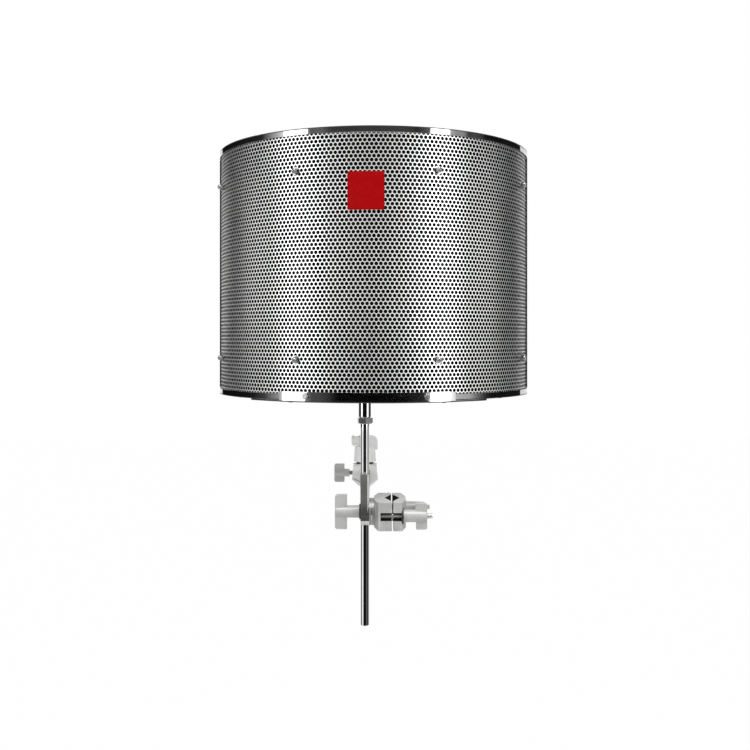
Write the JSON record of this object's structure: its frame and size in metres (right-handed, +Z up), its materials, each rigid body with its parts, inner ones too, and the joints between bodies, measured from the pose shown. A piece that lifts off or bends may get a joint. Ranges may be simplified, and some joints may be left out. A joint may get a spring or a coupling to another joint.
{
  "type": "microphone isolation shield",
  "caption": "Curved layered acoustic shield on a chrome rod, with tilting rosette arm, two-jaw stand clamp and sliding microphone carriage.",
  "frame": {"origin": "middle of the stand clamp's bore, at the height of the tilt knob's axis", "axes": "+Z up along the stand tube, +Y from the shield towards the microphone side, +X towards the clamp's wing knobs"},
  "size_m": [0.4021, 0.2526, 0.5728],
  "materials": {
    "perforated aluminium": "bright perforated sheet",
    "polished trim": "mirror polished",
    "tie hardware": "plated fasteners",
    "dark wool": "dense felted absorber",
    "foil": "thin foil",
    "badge red": "gloss red",
    "rod chrome": "mirror polished",
    "dark arm": "dark satin casting",
    "cast alloy": "sand-cast, tumbled",
    "knob alloy": "satin die-cast",
    "blackened steel": "blackened thread",
    "black washer": "matte black"
  },
  "bodies": {
    "clamp": {"fixed_jaw": "cast alloy", "clamp_rosette": "cast alloy", "jaw_bolts": "blackened steel", "pivot_bolt": "blackened steel"},
    "jaw": {"moving_jaw": "cast alloy", "jaw_washers": "black washer"},
    "front_jaw_knob": {"front_jaw_knob": "knob alloy"},
    "rear_jaw_knob": {"rear_jaw_knob": "knob alloy"},
    "arm": {"tilt_arm": "dark arm", "arm_rosette": "cast alloy", "upper_rod": "rod chrome", "lower_rod": "rod chrome", "tilt_washer": "black washer"},
    "tilt_knob": {"tilt_knob": "knob alloy"},
    "shield": {"outer_perforated_skin": "perforated aluminium", "inner_perforated_skin": "perforated aluminium", "outer_absorber": "dark wool", "inner_absorber": "dark wool", "foil_membrane": "foil", "bottom_end_plate": "polished trim", "top_end_plate": "polished trim", "left_edge_strip": "polished trim", "right_edge_strip": "polished trim", "tie_rods": "tie hardware", "outer_tie_washers": "tie hardware", "inner_tie_washers": "tie hardware", "outer_cap_nuts": "tie hardware", "inner_cap_nuts": "tie hardware", "spacer_tubes": "tie hardware", "top_plate_screws": "tie hardware", "bottom_plate_screws": "tie hardware", "badge_plate": "badge red", "mounting_bracket": "polished trim", "strap_screws": "tie hardware", "rod_socket": "rod chrome"},
    "lock_nut": {"lock_nut": "rod chrome"},
    "carriage": {"microphone_carriage": "cast alloy"},
    "clamp_screw": {"carriage_clamp_screw": "knob alloy"},
    "neck": {"swivel_neck": "cast alloy"},
    "stud": {"microphone_stud": "blackened steel"},
    "thumb_screw": {"tilt_thumb_screw": "knob alloy"}
  },
  "joints": [
    {"name": "jaw_slide", "type": "slide", "parent": "clamp", "child": "jaw", "axis": [1, 0, 0], "range_m": [-0.0012, 0.012]},
    {"name": "front_jaw_knob_spin", "type": "hinge", "parent": "jaw", "child": "front_jaw_knob", "pos_m": [0.034, -0.0295, 0], "axis": [1, 0, 0], "continuous": true},
    {"name": "rear_jaw_knob_spin", "type": "hinge", "parent": "jaw", "child": "rear_jaw_knob", "pos_m": [0.034, 0.0295, 0], "axis": [1, 0, 0], "continuous": true},
    {"name": "shield_tilt", "type": "hinge", "parent": "clamp", "child": "arm", "pos_m": [-0.03135, 0, 0], "axis": [1, 0, 0], "range_deg": [-45, 45]},
    {"name": "tilt_knob_spin", "type": "hinge", "parent": "arm", "child": "tilt_knob", "pos_m": [-0.05135, 0, 0], "axis": [1, 0, 0], "continuous": true},
    {"name": "shield_swivel", "type": "hinge", "parent": "arm", "child": "shield", "pos_m": [-0.03135, 0, 0.115], "axis": [0, 0, 1], "range_deg": [-60, 60]},
    {"name": "lock_nut_spin", "type": "hinge", "parent": "arm", "child": "lock_nut", "pos_m": [-0.03135, 0, 0.105], "axis": [0, 0, 1], "continuous": true},
    {"name": "carriage_slide", "type": "slide", "parent": "arm", "child": "carriage", "axis": [0, 1, 0], "range_m": [-0.09, 0.045]},
    {"name": "clamp_screw_spin", "type": "hinge", "parent": "carriage", "child": "clamp_screw", "pos_m": [-0.05785, 0.15, 0.0245], "axis": [1, 0, 0], "continuous": true},
    {"name": "neck_turn", "type": "hinge", "parent": "carriage", "child": "neck", "pos_m": [-0.03285, 0.15, 0.0495], "axis": [0, 0, 1], "continuous": true},
    {"name": "stud_tilt", "type": "hinge", "parent": "neck", "child": "stud", "pos_m": [-0.03285, 0.15, 0.0665], "axis": [1, 0, 0], "range_deg": [-90, 90]},
    {"name": "thumb_screw_spin", "type": "hinge", "parent": "neck", "child": "thumb_screw", "pos_m": [-0.04485, 0.15, 0.0665], "axis": [1, 0, 0], "continuous": true}
  ]
}
